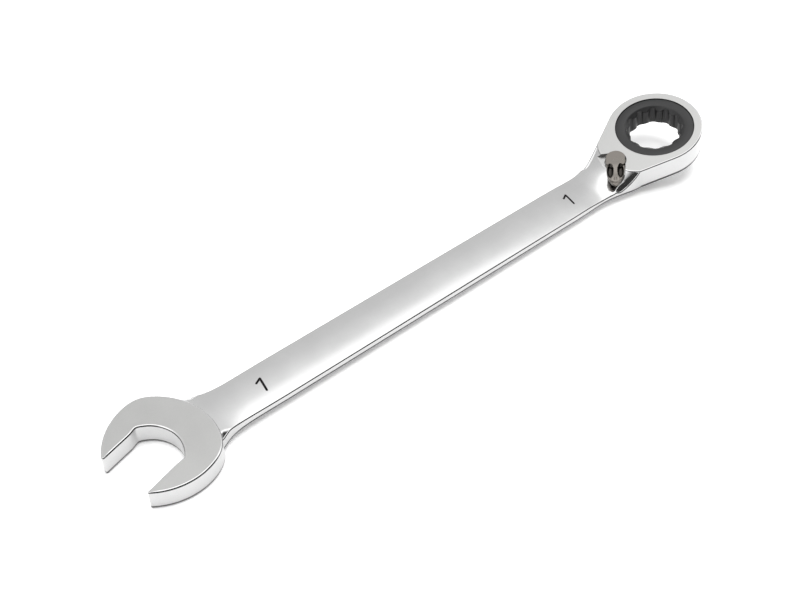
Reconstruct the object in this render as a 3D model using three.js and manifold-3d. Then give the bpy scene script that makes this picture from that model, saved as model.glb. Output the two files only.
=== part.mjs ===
// Reversible ratcheting combination wrench for a 1 in (25.4 mm) hexagon nut.
// Millimetres, +Z up. The origin is on the flat underside of the open-end head,
// on the handle's centreline just behind the throat; +X runs along the handle
// to the ratchet head, and the open jaw faces -X, turned 15 degrees to -Y.
import * as THREE from 'three';
import { mergeVertices } from 'three/addons/utils/BufferGeometryUtils.js';
import Module from 'manifold-3d';

const wasm = await Module();
wasm.setup();
const RAD = Math.PI / 180;

// Open-end head: a flat plate whose outline is one back arc and two side arcs.
// Arcs are given in the jaw frame: a runs into the head, v across it.
const PLATE_T = 10.5;
const MID_Z = PLATE_T / 2;
const JAW_X = -13.4;
const JAW_TURN = 15 * RAD;
const JAW_GAP = 25.6;
const FAR_SIDE = { r: 31.8, a: 3, v: 6.3, tip: -21.3 };
const NEAR_SIDE = { r: 29.2, a: 0.3, v: 3.9, tip: -23.2 };
const BACK_R = 32.2;
const BACK_A = -11;
const THROAT_R = 16.3;
const THROAT_A = -11.45;
const THROAT_RELIEF = 0.5;
const PLATE_BEVEL = 0.5;

// Handle: a bar with shallow domed faces and narrow flat sides.
const HANDLE_HALF_W = 11.6;
const HANDLE_CROWN = 2.7;
const HANDLE_EDGE = 1.95;
const HANDLE_SIDE = 1.45;
const HANDLE_START = 6;
const HANDLE_END = 252;

// Ratchet head: a plate tilted about Y, its top face's centre above the handle.
const HEAD_X = 295.6;
const HEAD_Z = 23.9;
const HEAD_TILT = 15 * RAD;
const HEAD_T = 13.3;
const HEAD_R = 25;
const HEAD_TAPER = 22 * RAD;
const HEAD_BEVEL = 0.6;

// The head's back edge is an arc in its top plane; from there a scoop, steep
// at first and then ever flatter, runs down into the handle.
const BACK_ARC_S = -11.9;
const BACK_ARC_R = 21.9;
const SCOOP_RUN = 28;
const SCOOP_POWER = 4.75;

// Bore of the ratchet head, gear ring and its retaining ring.
const LIP_R = 20.7;
const LIP_D = -2.3;
const CAVITY_R = 21.8;
const RING_GROOVE_R = 22.8;
const GEAR_TOP = -0.3;
const GEAR_BOTTOM = -12.8;
const JOURNAL_R = 20.4;
const TOOTH_TIP_R = 21.5;
const TOOTH_ROOT_R = 20.7;
const TOOTH_TOP = -2.7;
const TOOTH_BOTTOM = -10.5;
const TEETH = 90;
const SOCKET_FLAT = 12.75;
const SOCKET_LOBE_R = 14.9;
const SOCKET_CHAMFER_R = 15.5;
const RETAINER_TOP = -10.85;
const RETAINER_BOTTOM = -11.75;
const RETAINER_IN = 20.95;
const RETAINER_OUT = 22.5;

// Pawl behind the gear, in a pocket shaped as an annular sector.
const PAWL_IN = 21.85;
const PAWL_OUT = 26.2;
const PAWL_HALF = 19 * RAD;
const PAWL_TOP = -5.4;
const PAWL_BOTTOM = -10.4;
const PAWL_SHIFT = 4.5 * RAD;
const PAWL_NOTCH_R = 5.0;
const POCKET_OUT = 26.6;
const POCKET_HALF = 25 * RAD;

// Reversing lever: a boss, a finger tab and a stem that holds the detent.
const LEVER_S = -30.6;
const LEVER_THROW = 42 * RAD;
const BOSS_R = 5.4;
const BOSS_TOP = 1.3;
const LEVER_BOTTOM = -3.9;
const TAB_TOP = 0.5;
const TAB_BOTTOM = -1.5;
const TAB_NOSE = 14.5;
const LIP_TOP = -0.55;
const LIP_BOTTOM = -2;
const LIP_START = 10;
const TAB_LENGTH = 16;
const RECESS_FLOOR = -1.8;
const STEM_R = 3.3;
const STEM_BOTTOM = -11.2;
const STEM_BORE_R = 3.6;
const STEM_BORE_D = -11.6;
const LEVER_FLOOR = -4.2;
const CLIP_TOP = -9.85;
const CLIP_BOTTOM = -10.35;
const CLIP_IN = 2.8;
const CLIP_OUT = 3.9;
const DETENT_D = -7.7;
const DETENT_R = 1.2;
const DETENT_TIP = 4.35;
const DETENT_TAIL = 1.45;
const DETENT_HOLE_R = 1.5;
const DETENT_HOLE_END = -1.3;

// Size numerals stamped in the top of the handle.
const NUMERALS = [[36.6, -0.6], [231.6, -0.5]];
const NUMERAL_STROKE = 0.54;
const NUMERAL_DEPTH = 0.45;

const CHROME = { color: 0xd6d8da, roughness: 0.16, metalness: 1.0 };
const BLACK_STEEL = { color: 0x3c3c3e, roughness: 0.42, metalness: 0.8 };
const NICKEL = { color: 0x8c8780, roughness: 0.34, metalness: 0.9 };
const SPRING_STEEL = { color: 0x9a9c9f, roughness: 0.3, metalness: 1.0 };

// ---------------------------------------------------------------- helpers

// Turns a closed geometry into a solid that can be joined and cut.
function solid(geometry) {
  let g = geometry.clone();
  g.deleteAttribute('normal');
  g.deleteAttribute('uv');
  g = mergeVertices(g, 1e-4);
  const mesh = new wasm.Mesh({
    numProp: 3,
    vertProperties: new Float32Array(g.attributes.position.array),
    triVerts: new Uint32Array(g.index.array),
  });
  mesh.merge();
  return new wasm.Manifold(mesh);
}

// Turns a solid back into a geometry with shared vertices.
function geometryOf(body) {
  const mesh = body.getMesh();
  const g = new THREE.BufferGeometry();
  g.setAttribute('position', new THREE.BufferAttribute(mesh.vertProperties, 3));
  g.setIndex(new THREE.BufferAttribute(mesh.triVerts, 1));
  return g;
}

function piece(name, body, look) {
  const mesh = new THREE.Mesh(geometryOf(body), new THREE.MeshStandardMaterial(look));
  mesh.name = name;
  return mesh;
}

// A shape extruded along +Z from z0 to z1, with an optional edge bevel.
function slab(shape, z0, z1, bevel = 0) {
  const g = new THREE.ExtrudeGeometry(shape, {
    depth: z1 - z0 - 2 * bevel,
    bevelEnabled: bevel > 0,
    bevelThickness: bevel,
    bevelSize: bevel,
    bevelOffset: -bevel,
    bevelSegments: 2,
    curveSegments: 24,
  });
  g.translate(0, 0, z0 + bevel);
  return g;
}

// Moves a geometry so that its own x, y and z run along the three given axes.
function along(geometry, x, y, z) {
  const basis = new THREE.Matrix4().makeBasis(
    new THREE.Vector3(...x),
    new THREE.Vector3(...y),
    new THREE.Vector3(...z),
  );
  return geometry.applyMatrix4(basis);
}

function disc(radius, z0, z1, segments = 72) {
  const g = new THREE.CylinderGeometry(radius, radius, z1 - z0, segments);
  g.rotateX(Math.PI / 2);
  g.translate(0, 0, (z0 + z1) / 2);
  return g;
}

function shapeOf(points) {
  return new THREE.Shape(points.map(([x, y]) => new THREE.Vector2(x, y)));
}

// Points of an arc about (cx, cy) from angle a0 to a1, both ends included.
function arc(cx, cy, r, a0, a1, steps) {
  const points = [];
  for (let i = 0; i <= steps; i += 1) {
    const a = a0 + ((a1 - a0) * i) / steps;
    points.push([cx + r * Math.cos(a), cy + r * Math.sin(a)]);
  }
  return points;
}

// Rounds every corner of a closed polygon with its own radius (0 = sharp).
function rounded(corners, steps = 6) {
  const points = [];
  corners.forEach(([x, y, r], i) => {
    const [px, py] = corners[(i + corners.length - 1) % corners.length];
    const [nx, ny] = corners[(i + 1) % corners.length];
    const here = new THREE.Vector2(x, y);
    if (!r) {
      points.push([x, y]);
      return;
    }
    const a = new THREE.Vector2(px, py).sub(here).normalize();
    const b = new THREE.Vector2(nx, ny).sub(here).normalize();
    const half = Math.acos(THREE.MathUtils.clamp(a.dot(b), -1, 1)) / 2;
    const reach = r / Math.tan(half);
    const centre = a.clone().add(b).normalize().multiplyScalar(r / Math.sin(half)).add(here);
    const from = a.multiplyScalar(reach).add(here).sub(centre);
    const to = b.multiplyScalar(reach).add(here).sub(centre);
    const start = from.angle();
    let sweep = to.angle() - start;
    sweep -= 2 * Math.PI * Math.round(sweep / (2 * Math.PI));
    points.push(...arc(centre.x, centre.y, r, start, start + sweep, steps));
  });
  return points;
}

const tilt = new THREE.Matrix4()
  .makeRotationY(-HEAD_TILT)
  .setPosition(HEAD_X, 0, HEAD_Z);

// A geometry drawn in the ratchet head's own frame (s, y, d) put into place.
function onHead(geometry) {
  return geometry.applyMatrix4(tilt);
}

// ------------------------------------------------------------ wrench body

// Jaw frame to part frame: a runs into the head, v across it to the far side.
function fromJaw([a, v]) {
  const c = Math.cos(JAW_TURN);
  const s = Math.sin(JAW_TURN);
  return [JAW_X + a * c - v * s, a * s + v * c];
}

// Half width of the open-end plate at depth a: the side arc and the back arc,
// blended where they meet.
function plateHalfWidth(a, arm) {
  const side = Math.sqrt(Math.max(arm.r ** 2 - (a - arm.a) ** 2, 0)) - arm.v;
  const back = Math.sqrt(Math.max(BACK_R ** 2 - (a - BACK_A) ** 2, 0));
  const k = 18;
  return (side ** -k + back ** -k) ** (-1 / k);
}

// Outline of one arm from its tip to the middle of the back.
function armOutline(arm) {
  const points = [];
  const steps = 30;
  for (let i = 0; i <= steps; i += 1) {
    const t = Math.sin((i / steps) * (Math.PI / 2)) ** 1.15;
    const a = arm.tip + (BACK_A + BACK_R - 0.02 - arm.tip) * t;
    points.push([a, plateHalfWidth(a, arm)]);
  }
  return points;
}

function openEndPlate() {
  const near = armOutline(NEAR_SIDE).map(([a, v]) => [a, -v]);
  const far = armOutline(FAR_SIDE).reverse();
  const outline = [...near, ...far].map(fromJaw);
  return slab(shapeOf(outline), 0, PLATE_T, PLATE_BEVEL);
}

// The jaw gap: two flats, a relief at the end of each, and a round throat.
function jawGap() {
  const h = JAW_GAP / 2;
  const relief = h + THROAT_RELIEF;
  const end = Math.asin(relief / THROAT_R);
  const throat = arc(THROAT_A, 0, THROAT_R, -end, end, 28);
  const a0 = throat[0][0];
  const points = [
    [-40, -h],
    [a0 - 4.2, -h],
    [a0 - 2.4, -relief + 0.2],
    [a0 - 1, -relief],
    ...throat,
    [a0 - 1, relief],
    [a0 - 2.4, relief - 0.2],
    [a0 - 4.2, h],
    [-40, h],
  ];
  return slab(shapeOf(points.map(fromJaw)), -1, PLATE_T + 1);
}

const DOME_HALF_W = HANDLE_HALF_W - 0.7;

// Height of the handle's domed face above its mid plane.
function domeHeight(y) {
  return HANDLE_EDGE + (HANDLE_CROWN - HANDLE_EDGE) * (1 - (y / DOME_HALF_W) ** 2);
}

// Cross-section of the handle in (y, z).
function handleSection() {
  const dome = [];
  for (let i = 0; i <= 10; i += 1) {
    const y = DOME_HALF_W * (1 - i / 5);
    dome.push([y, domeHeight(y)]);
  }
  const top = [[HANDLE_HALF_W, HANDLE_SIDE], ...dome, [-HANDLE_HALF_W, HANDLE_SIDE]];
  const bottom = top.map(([y, z]) => [-y, -z]);
  return shapeOf([...top, ...bottom].map(([y, z]) => [y, MID_Z + z]));
}

function handleBar() {
  const g = slab(handleSection(), HANDLE_START, HANDLE_END);
  return along(g, [0, 1, 0], [0, 0, 1], [1, 0, 0]);
}

// A neck: the part of a plan outline that also lies inside a side profile.
function neck(plan, side) {
  const walls = solid(slab(shapeOf(plan), -20, 40));
  const profile = slab(shapeOf(side), -30, 30);
  return walls.intersect(solid(along(profile, [1, 0, 0], [0, 0, 1], [0, -1, 0])));
}

function mirrored(half) {
  const far = half.map(([x, y]) => [x, y]).reverse();
  return [...half.map(([x, y]) => [x, -y]), ...far];
}

function openEndNeck() {
  const plan = mirrored([
    [-4, 16.5], [2, 15.9], [5, 14.9], [8, 13.5], [11, 12.4], [14, 11.8],
    [18, 11.5], [23, 11.35], [26, 11.3],
  ]);
  const top = [[-4, 9.5], [6, 9.4], [9, 9], [12, 8.5], [16, 8.05], [21, 7.75], [30, 7.2]];
  const bottom = top.map(([x, z]) => [x, PLATE_T - z]);
  return neck(plan, [...bottom, ...top.reverse()]);
}

// Heights of the ratchet head's two faces at x.
function headTop(x) {
  return HEAD_Z + (x - HEAD_X) * Math.tan(HEAD_TILT);
}

function headBottom(x) {
  return headTop(x) - HEAD_T / Math.cos(HEAD_TILT);
}

// What the scoop takes away: a ring that is turned about the middle of the back
// arc, its underside falling from the head's top plane to the handle's dome.
function scoopRing() {
  const inside = 1.2;
  const steps = 16;
  const profile = [];
  for (let i = 0; i <= steps; i += 1) {
    const out = (SCOOP_RUN + inside) * (i / steps) ** 1.4 - inside;
    profile.push(new THREE.Vector2(BACK_ARC_R + out, Math.max(1 - out / SCOOP_RUN, 0) ** SCOOP_POWER));
  }
  profile.push(new THREE.Vector2(BACK_ARC_R + SCOOP_RUN, 9));
  profile.push(new THREE.Vector2(BACK_ARC_R - inside, 9));
  profile.push(profile[0].clone());
  const g = new THREE.LatheGeometry(profile, 96).rotateX(Math.PI / 2);
  const squeeze = Math.cos(HEAD_TILT);
  const centre = HEAD_X + BACK_ARC_S * squeeze;
  const p = g.attributes.position;
  for (let i = 0; i < p.count; i += 1) {
    const [u, y, share] = [p.getX(i), p.getY(i), p.getZ(i)];
    const x = centre + u * squeeze;
    const rim = headTop(centre + (u * squeeze * BACK_ARC_R) / Math.hypot(u, y));
    const floor = MID_Z + domeHeight(y) - 0.03;
    p.setXYZ(i, x, y, share > 5 ? 40 : floor + (rim - floor) * share);
  }
  return g;
}

function ratchetNeck() {
  const plan = mirrored([
    [238, 11.3], [246, 11.5], [251, 11.9], [256, 12.7], [260, 13.5], [264, 14.4],
    [267, 15.1], [272, 15.4],
  ]);
  const low = MID_Z - HANDLE_CROWN + 0.25;
  const heelX = HEAD_X + (low - headBottom(HEAD_X)) / Math.tan(HEAD_TILT);
  const side = [
    [238, low],
    [heelX, low],
    [272, headBottom(272) + 0.05],
    [272, headTop(272) - 0.05],
    [238, headTop(238) - 0.05],
  ];
  return neck(plan, side).subtract(solid(scoopRing()));
}

function headPlate() {
  const tangent = Math.PI / 2 + HEAD_TAPER;
  const nose = arc(0, 0, HEAD_R, -tangent, tangent, 48);
  // the tapered sides are y = side + s * slope, and end on the back arc
  const slope = Math.tan(HEAD_TAPER);
  const side = HEAD_R / Math.cos(HEAD_TAPER);
  const r = BACK_ARC_R + HEAD_BEVEL;
  const a = 1 + slope ** 2;
  const b = 2 * (side * slope - BACK_ARC_S);
  const c = BACK_ARC_S ** 2 + side ** 2 - r ** 2;
  const s = (-b - Math.sqrt(b * b - 4 * a * c)) / (2 * a);
  const y = side + s * slope;
  const corner = Math.atan2(y, s - BACK_ARC_S);
  const back = arc(BACK_ARC_S, 0, r, corner + 0.1, 2 * Math.PI - corner - 0.1, 20);
  const outline = rounded([
    ...nose.map(([u, v]) => [u, v, 0]),
    [s, y, 2],
    ...back.map(([u, v]) => [u, v, 0]),
    [s, -y, 2],
  ]);
  return slab(shapeOf(outline), -HEAD_T, 0, HEAD_BEVEL);
}

function annularSector(r0, r1, half, z0, z1) {
  const outer = arc(0, 0, r1, Math.PI - half, Math.PI + half, 16);
  const inner = arc(0, 0, r0, Math.PI + half, Math.PI - half, 16);
  return slab(shapeOf([...outer, ...inner]), z0, z1);
}

// The shallow fan behind the boss in which the root of the lever's tab swings.
function leverRecess() {
  const flank = 5.2;
  const c = Math.cos(LEVER_THROW);
  const s = Math.sin(LEVER_THROW);
  const [a, b] = [2, 9.5].map((u) => [u * c - flank * s, u * s + flank * c]);
  const fan = [a, b, [14, 9], [14, -9], [b[0], -b[1]], [a[0], -a[1]]];
  return slab(shapeOf(fan.map(([x, y]) => [LEVER_S - x, -y])), RECESS_FLOOR, 8);
}

// A round-ended stroke cut into the top of the handle.
function stroke([px, py], [qx, qy]) {
  const a = Math.atan2(qy - py, qx - px);
  const outline = [
    ...arc(qx, qy, NUMERAL_STROKE, a - Math.PI / 2, a + Math.PI / 2, 6),
    ...arc(px, py, NUMERAL_STROKE, a + Math.PI / 2, a + 1.5 * Math.PI, 6),
  ];
  const top = MID_Z + HANDLE_CROWN;
  return solid(slab(shapeOf(outline), top - NUMERAL_DEPTH, top + 1));
}

// A slanted figure one: a long stroke with a short flag.
function numeral([x, y]) {
  const top = [x + 0.75, y + 3.65];
  return stroke([x - 0.75, y - 3.65], top).add(stroke([x - 2.1, y + 2.2], top));
}

function wrenchBody() {
  let body = solid(openEndPlate());
  body = body.add(openEndNeck());
  body = body.add(solid(handleBar()));
  body = body.add(ratchetNeck());
  body = body.add(solid(onHead(headPlate())));
  const cuts = [
    jawGap(),
    onHead(disc(LIP_R, -20, 5)),
    onHead(disc(CAVITY_R, -20, LIP_D)),
    onHead(disc(RING_GROOVE_R, RETAINER_BOTTOM - 0.3, RETAINER_TOP + 0.3)),
    onHead(annularSector(18, POCKET_OUT, POCKET_HALF, PAWL_BOTTOM - 0.35, PAWL_TOP + 0.35)),
    onHead(annularSector(18, 29.3, 9 * RAD, PAWL_BOTTOM - 0.35, PAWL_TOP + 0.35)),
    onHead(leverRecess()),
    onHead(disc(BOSS_R + 0.4, LEVER_FLOOR, 8, 40).translate(LEVER_S, 0, 0)),
    onHead(disc(STEM_BORE_R, STEM_BORE_D, 8, 32).translate(LEVER_S, 0, 0)),
    onHead(disc(CLIP_OUT + 0.3, CLIP_BOTTOM - 0.3, CLIP_TOP + 0.3, 32).translate(LEVER_S, 0, 0)),
  ];
  for (const cut of cuts) {
    body = body.subtract(solid(cut));
  }
  for (const figure of NUMERALS.map(numeral)) {
    body = body.subtract(figure);
  }
  return body;
}

// ------------------------------------------------- gear ring and retainer

// Outline of the double-hexagon socket: twelve rounded lobes on the +-15 degree
// lines, with the corners between them reaching in to the flats.
function socketOutline() {
  const points = [];
  const inner = SOCKET_FLAT / Math.cos(15 * RAD);
  const middle = (SOCKET_LOBE_R + inner) / 2;
  const swing = (SOCKET_LOBE_R - inner) / 2;
  const steps = 96;
  for (let i = 0; i < steps; i += 1) {
    const a = (2 * Math.PI * i) / steps;
    const wave = Math.cos(12 * (a - 15 * RAD));
    const r = middle + swing * Math.sign(wave) * Math.abs(wave) ** 0.75;
    points.push([r * Math.cos(a), r * Math.sin(a)]);
  }
  return points;
}

function toothedOutline() {
  const points = [];
  for (let i = 0; i < TEETH; i += 1) {
    const a = (2 * Math.PI * i) / TEETH;
    const half = Math.PI / TEETH;
    points.push([TOOTH_TIP_R * Math.cos(a), TOOTH_TIP_R * Math.sin(a)]);
    points.push([TOOTH_ROOT_R * Math.cos(a + half), TOOTH_ROOT_R * Math.sin(a + half)]);
  }
  return points;
}

// A cone frustum standing on z0 with radius r0 and ending on z1 with radius r1.
function frustum(r0, z0, r1, z1, segments = 48) {
  const g = new THREE.CylinderGeometry(r1, r0, z1 - z0, segments);
  g.rotateX(Math.PI / 2);
  g.translate(0, 0, (z0 + z1) / 2);
  return g;
}

function gearRing() {
  let gear = solid(disc(JOURNAL_R, GEAR_BOTTOM, GEAR_TOP, 90));
  gear = gear.add(solid(slab(shapeOf(toothedOutline()), TOOTH_BOTTOM, TOOTH_TOP)));
  const cuts = [
    slab(shapeOf(socketOutline()), GEAR_BOTTOM - 1, GEAR_TOP + 1),
    frustum(SOCKET_FLAT, GEAR_TOP - (SOCKET_CHAMFER_R - SOCKET_FLAT), SOCKET_CHAMFER_R + 1, GEAR_TOP + 1),
    frustum(SOCKET_CHAMFER_R + 1, GEAR_BOTTOM - 1, SOCKET_FLAT, GEAR_BOTTOM + SOCKET_CHAMFER_R - SOCKET_FLAT),
  ];
  for (const cut of cuts) {
    gear = gear.subtract(solid(cut));
  }
  return gear;
}

// A flat C-shaped ring with its gap on the +s side.
function openRing(inner, outer, halfGap, z0, z1, steps) {
  const far = arc(0, 0, outer, halfGap, 2 * Math.PI - halfGap, steps);
  const near = arc(0, 0, inner, 2 * Math.PI - halfGap, halfGap, steps);
  return slab(shapeOf([...far, ...near]), z0, z1);
}

function gearRetainer() {
  return solid(openRing(RETAINER_IN, RETAINER_OUT, 9 * RAD, RETAINER_BOTTOM, RETAINER_TOP, 48));
}

// ------------------------------------------------------- pawl and detent

// The pawl's concave toothed face, its ends and its back, in the frame where
// it lies centred on the -s line.
function pawl() {
  const inner = [];
  const count = Math.floor(PAWL_HALF / (Math.PI / TEETH));
  for (let i = -count + 1; i < count; i += 1) {
    const a = Math.PI + (i * Math.PI) / TEETH;
    const r = (i + count) % 2 ? PAWL_IN + 0.7 : PAWL_IN;
    inner.push([r * Math.cos(a), r * Math.sin(a)]);
  }
  const back = arc(0, 0, PAWL_OUT, Math.PI + PAWL_HALF - 0.04, Math.PI - PAWL_HALF + 0.04, 18);
  let body = solid(slab(shapeOf([...inner, ...back]), PAWL_BOTTOM, PAWL_TOP));
  for (const turn of [-PAWL_SHIFT, PAWL_SHIFT]) {
    const x = LEVER_S * Math.cos(turn);
    const y = LEVER_S * Math.sin(turn);
    const notch = disc(PAWL_NOTCH_R, PAWL_BOTTOM - 1, PAWL_TOP + 1, 36).translate(x, y, 0);
    body = body.subtract(solid(notch));
  }
  return body;
}

// ---------------------------------------------------------- reversing lever

// Solid of revolution about Z from a closed (r, z) profile on the axis.
function turned(profile, segments) {
  const g = new THREE.LatheGeometry(profile.map(([r, z]) => new THREE.Vector2(r, z)), segments);
  return g.rotateX(Math.PI / 2);
}

// A round rod along the lever's own x axis.
function rodAlongX(radius, x0, x1, segments = 20) {
  const g = new THREE.CylinderGeometry(radius, radius, x1 - x0, segments);
  g.rotateZ(Math.PI / 2);
  g.translate((x0 + x1) / 2, 0, DETENT_D);
  return g;
}

// Drawn about the boss axis, with the tab along +x and the detent along -x.
function reversingLever() {
  const boss = turned([
    [0, LEVER_BOTTOM], [BOSS_R, LEVER_BOTTOM], [BOSS_R, BOSS_TOP - 0.75],
    [BOSS_R - 0.3, BOSS_TOP - 0.35], [BOSS_R - 0.9, BOSS_TOP - 0.1], [0, BOSS_TOP],
  ], 40);
  const tab = mirrored([[0, 4.7], [7, 4.65], [9.5, 4.5], [11.5, 4.0], [13, 3.25], [TAB_NOSE, 2.3]]);
  const lip = mirrored([
    [LIP_START, 4.1], [11.5, 3.8], [13, 3.1], [14.6, 2.2], [15.4, 1.5], [15.8, 0.8], [TAB_LENGTH, 0.3],
  ]);
  let body = solid(boss);
  body = body.add(solid(slab(shapeOf(tab), TAB_BOTTOM, TAB_TOP, 0.3)));
  body = body.add(solid(slab(shapeOf(lip), LIP_BOTTOM, LIP_TOP, 0.2)));
  body = body.add(solid(disc(STEM_R, STEM_BOTTOM, LEVER_BOTTOM + 1, 36)));
  const ring = solid(disc(STEM_R + 2, CLIP_BOTTOM - 0.2, CLIP_TOP + 0.2, 36));
  body = body.subtract(ring.subtract(solid(disc(CLIP_IN - 0.3, -12, -8, 36))));
  body = body.subtract(solid(rodAlongX(DETENT_HOLE_R, -STEM_R - 1, -DETENT_HOLE_END)));
  for (const side of [-1, 1]) {
    const scoop = new THREE.SphereGeometry(1, 24, 12);
    scoop.scale(4.4, 1.5, 1.6);
    scoop.translate(8.2, side * 2.75, TAB_TOP + 0.15);
    body = body.subtract(solid(scoop));
  }
  return body;
}

function detentPlunger() {
  const nose = DETENT_TIP - DETENT_R;
  const profile = [[0, DETENT_TAIL], [DETENT_R, DETENT_TAIL]];
  for (let i = 0; i <= 6; i += 1) {
    const a = (i * Math.PI) / 12;
    profile.push([DETENT_R * Math.cos(a), nose + DETENT_R * Math.sin(a)]);
  }
  profile[profile.length - 1][0] = 0;
  const g = new THREE.LatheGeometry(profile.map(([r, z]) => new THREE.Vector2(r, z)), 24);
  g.rotateZ(Math.PI / 2);
  g.translate(0, 0, DETENT_D);
  return solid(g);
}

class Coil extends THREE.Curve {
  constructor(radius, x0, x1, turns) {
    super();
    Object.assign(this, { radius, x0, x1, turns });
  }

  getPoint(t, target = new THREE.Vector3()) {
    const a = 2 * Math.PI * this.turns * t;
    const x = this.x0 + (this.x1 - this.x0) * t;
    return target.set(x, this.radius * Math.cos(a), DETENT_D + this.radius * Math.sin(a));
  }
}

function detentSpring() {
  const wire = 0.17;
  const path = new Coil(0.85, -(DETENT_TAIL - 0.35 - wire), -(DETENT_HOLE_END + 0.35 + wire), 4);
  const section = shapeOf(arc(0, 0, wire, 0, 2 * Math.PI, 6).slice(0, -1));
  return solid(new THREE.ExtrudeGeometry(section, {
    steps: 64,
    bevelEnabled: false,
    extrudePath: path,
  }));
}

// ------------------------------------------------------------- assembly

const wrench = new THREE.Group();
wrench.add(piece('wrench_body', wrenchBody(), CHROME));

const head = new THREE.Group();
head.position.set(HEAD_X, 0, HEAD_Z);
head.rotation.y = -HEAD_TILT;
wrench.add(head);
head.add(piece('gear_ring', gearRing(), BLACK_STEEL));
head.add(piece('gear_retaining_ring', gearRetainer(), SPRING_STEEL));

const pawlPiece = piece('pawl', pawl(), BLACK_STEEL);
pawlPiece.rotation.z = -PAWL_SHIFT;
head.add(pawlPiece);

const clip = piece(
  'lever_retaining_ring',
  solid(openRing(CLIP_IN, CLIP_OUT, 25 * RAD, CLIP_BOTTOM, CLIP_TOP, 28)),
  SPRING_STEEL,
);
clip.position.x = LEVER_S;
head.add(clip);

const lever = new THREE.Group();
lever.position.x = LEVER_S;
lever.rotation.z = Math.PI + LEVER_THROW;
head.add(lever);
lever.add(piece('reversing_lever', reversingLever(), NICKEL));
lever.add(piece('detent_plunger', detentPlunger(), SPRING_STEEL));
lever.add(piece('detent_spring', detentSpring(), SPRING_STEEL));

export default wrench;
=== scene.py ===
"""A 1 in reversible ratcheting combination wrench, lying on a pale floor under soft studio light.

The wrench body, the reversing lever and the gear ring are fine meshes that stand for their CAD nodes.
The inner pieces keep their CAD meshes. Shapes are drawn in millimetres and placed in metres.
"""

import math

import bmesh
import bpy
import numpy as np
from mathutils import Matrix, Vector


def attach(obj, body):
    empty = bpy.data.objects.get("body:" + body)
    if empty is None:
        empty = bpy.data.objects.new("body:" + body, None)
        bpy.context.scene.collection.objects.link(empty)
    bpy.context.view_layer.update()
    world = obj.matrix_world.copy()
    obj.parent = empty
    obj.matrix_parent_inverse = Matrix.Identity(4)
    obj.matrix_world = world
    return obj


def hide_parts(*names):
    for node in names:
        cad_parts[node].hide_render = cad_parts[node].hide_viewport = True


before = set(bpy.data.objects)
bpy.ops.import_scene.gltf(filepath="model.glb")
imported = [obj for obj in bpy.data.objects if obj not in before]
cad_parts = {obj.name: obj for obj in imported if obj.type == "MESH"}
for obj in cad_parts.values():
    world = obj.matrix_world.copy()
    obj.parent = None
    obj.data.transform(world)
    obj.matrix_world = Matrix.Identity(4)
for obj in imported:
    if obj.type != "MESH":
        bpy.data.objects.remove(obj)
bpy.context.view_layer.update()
MM = 0.001

# ------------------------------------------------------------------ sizes, in millimetres
PLATE_T = 10.5
MID_Z = PLATE_T / 2
JAW_X = -13.4
JAW_TURN = math.radians(15)
JAW_HALF = 12.8
FAR_SIDE = {"r": 31.8, "a": 3.0, "v": 6.3, "tip": -21.3}
NEAR_SIDE = {"r": 29.2, "a": 0.3, "v": 3.9, "tip": -23.2}
BACK_R, BACK_A, CORNER_POWER = 32.2, -11.0, 18
THROAT_R, THROAT_A, THROAT_RELIEF = 16.3, -11.45, 0.5
PLATE_ROUND, PLATE_EASING = 0.75, 0.42

EDGE_ROUND = 0.55
# heights of the painted shade bands on the walls above the lower rims: open end plate and handle, then
# ratchet head
PAINTED_SHADE_BAND, HEAD_PAINTED_SHADE_BAND = 0.6, 1.1

HEAD_X, HEAD_Z = 295.6, 23.9
HEAD_TILT = math.radians(15)
HEAD_T = 13.3
HEAD_R = 25.0
HEAD_TAPER = math.radians(22)
HEAD_ROUND, HEAD_EASING = 0.6, 0.8
BACK_ARC_S, BACK_ARC_R = -11.9, 21.9
SCOOP_RUN, SCOOP_POWER = 28.0, 4.75

LIP_R, LIP_D = 20.7, -2.3
CAVITY_R = 21.8
RING_GROOVE = (22.8, -12.05, -10.55)
PAWL_POCKET = (-10.75, -5.05)
POCKET_INNER_R = 18
PAWL_BACK_R, PAWL_HALF = 26.6, math.radians(25)
WINDOW_BACK_R, WINDOW_HALF = 29.3, math.radians(9)
LEVER_S = -30.6
LEVER_THROW = math.radians(42)
BOSS_FLOOR = -4.2
RECESS_FLOOR = -1.8
BOSS_R, BOSS_TOP = 5.4, 1.3
LEVER_BOTTOM = -3.9
TAB_LENGTH = 16.0
STEM_R, STEM_BOTTOM = 3.3, -11.2
BOSS_GAP, STEM_GAP = 0.4, 0.3
STEM_GROOVE = (4.2, -10.65, -9.55)
PLUNGER_HOLE_R, PLUNGER_Z = 1.5, -7.7
BELOW, ABOVE = -20, 8

COS_T, SIN_T = math.cos(HEAD_TILT), math.sin(HEAD_TILT)
HEAD = (
    Matrix.Translation((HEAD_X, 0, HEAD_Z))
    @ Matrix.Rotation(-HEAD_TILT, 4, "Y")
)
LEVER = (
    HEAD
    @ Matrix.Translation((LEVER_S, 0, 0))
    @ Matrix.Rotation(math.pi + LEVER_THROW, 4, "Z")
)
PART = Matrix.Identity(4)


# ------------------------------------------------------------------ camera
CAMERA_PLACE = (-0.12824, -0.26995, 0.37346)
CAMERA_RIGHT = (0.75472, -0.65576, 0.01939)
CAMERA_DOWN = (-0.45445, -0.54389, -0.70544)
CAMERA_LENS, CAMERA_SENSOR = 49.587, 36.0


def make_camera():
    data = bpy.data.cameras.new("camera")
    data.sensor_width = CAMERA_SENSOR
    data.lens = CAMERA_LENS
    data.clip_start, data.clip_end = 0.01, 20.0
    cam = bpy.data.objects.new("camera", data)
    bpy.context.scene.collection.objects.link(cam)
    right, down = Vector(CAMERA_RIGHT), Vector(CAMERA_DOWN)
    turn = Matrix((right, -down, -right.cross(down))).transposed().to_4x4()
    cam.matrix_world = Matrix.Translation(CAMERA_PLACE) @ turn
    bpy.context.scene.camera = cam


make_camera()


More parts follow.
